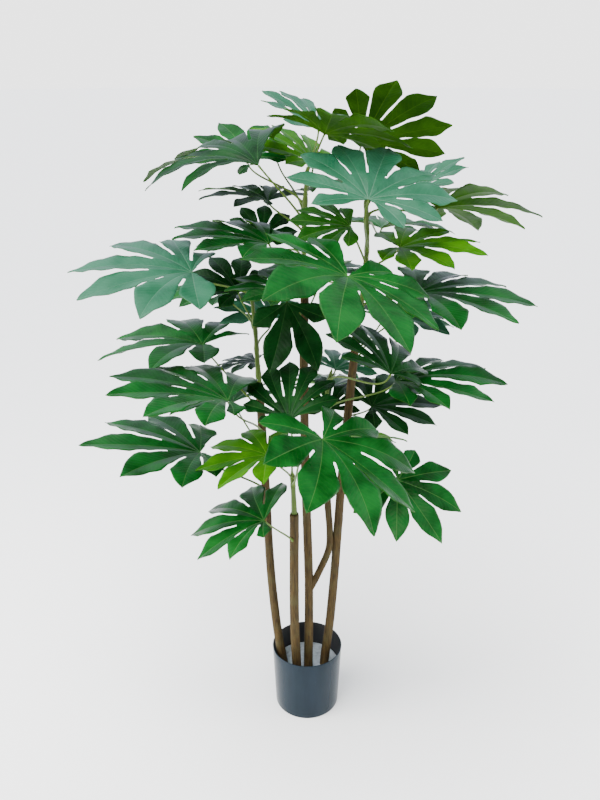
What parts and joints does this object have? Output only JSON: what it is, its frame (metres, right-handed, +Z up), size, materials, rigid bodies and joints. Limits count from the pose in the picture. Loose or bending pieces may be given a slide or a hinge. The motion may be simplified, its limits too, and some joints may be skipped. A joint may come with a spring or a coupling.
{
  "type": "potted fatsia plant",
  "caption": "Standing potted plant with slim brown trunks, green shoots and large palmate leaves in a plain, slightly tapered dark pot.",
  "frame": {"origin": "centre of the pot's base, on the surface that the pot stands on", "axes": "+Z up along the pot's axis; the viewer of the plant's front looks along +Y, with +X to the right"},
  "size_m": [0.9466, 0.9617, 1.5082],
  "materials": {
    "pot": "satin injection-moulded slate blue-grey plastic",
    "filling": "rough, pale grey, cast cement-like mass",
    "trunk": "matt olive-brown bark with fine knots",
    "shoot": "smooth yellow-green moulded stem",
    "leaf_green": "satin mid-green leaf with pale midribs and a yellow-green underside",
    "leaf_dark": "satin dark green leaf in the shade of the crown",
    "leaf_pale": "leaf whose upper side has a pale bluish sheen",
    "leaf_lime": "young yellow-green leaf",
    "leaf_under": "leaf tilted so that its yellow-green underside shows"
  },
  "bodies": {
    "root": {"pot": "pot", "filling": "filling", "trunk_left": "trunk", "trunk_short": "trunk", "trunk_middle": "trunk", "trunk_right": "trunk", "shoot_left": "shoot", "shoot_short": "shoot", "shoot_middle": "shoot", "shoot_branch": "shoot", "shoot_right": "shoot", "leaf_top_right": "leaf_under", "leaf_top_under": "leaf_under", "leaf_top_pale": "leaf_pale", "leaf_top_light": "leaf_lime", "leaf_top_left": "leaf_green", "leaf_top_left_back": "leaf_green", "leaf_upper_left": "leaf_dark", "leaf_upper_middle": "leaf_under", "leaf_upper_face": "leaf_pale", "leaf_upper_right": "leaf_under", "leaf_lime_right": "leaf_lime", "leaf_under_face": "leaf_under", "leaf_top_back": "leaf_pale", "leaf_front": "leaf_green", "leaf_far_left": "leaf_pale", "leaf_inner_back": "leaf_dark", "leaf_inner_left": "leaf_green", "leaf_left_inner": "leaf_dark", "leaf_front_inner": "leaf_dark", "leaf_hanging": "leaf_dark", "leaf_right": "leaf_green", "leaf_right_back": "leaf_pale", "leaf_right_inner": "leaf_dark", "leaf_low_right": "leaf_green", "leaf_low_right_back": "leaf_dark", "leaf_left_edge": "leaf_green", "leaf_left_back": "leaf_pale", "leaf_left": "leaf_green", "leaf_centre_back": "leaf_pale", "leaf_front_low": "leaf_green", "leaf_centre": "leaf_dark", "leaf_lime_left": "leaf_lime", "leaf_under_centre": "leaf_under", "leaf_low_left": "leaf_green", "leaf_bottom_left": "leaf_green", "leaf_bottom_right": "leaf_green", "leaf_mid_low": "leaf_dark", "leaf_mid_left": "leaf_dark", "leaf_rear_top": "leaf_green", "leaf_rear_upper_left": "leaf_green", "leaf_rear_upper_right": "leaf_green", "leaf_rear_middle": "leaf_green", "leaf_rear_left": "leaf_green", "leaf_rear_right": "leaf_green", "leaf_rear_low_left": "leaf_green", "leaf_rear_low": "leaf_green"}
  },
  "joints": []
}
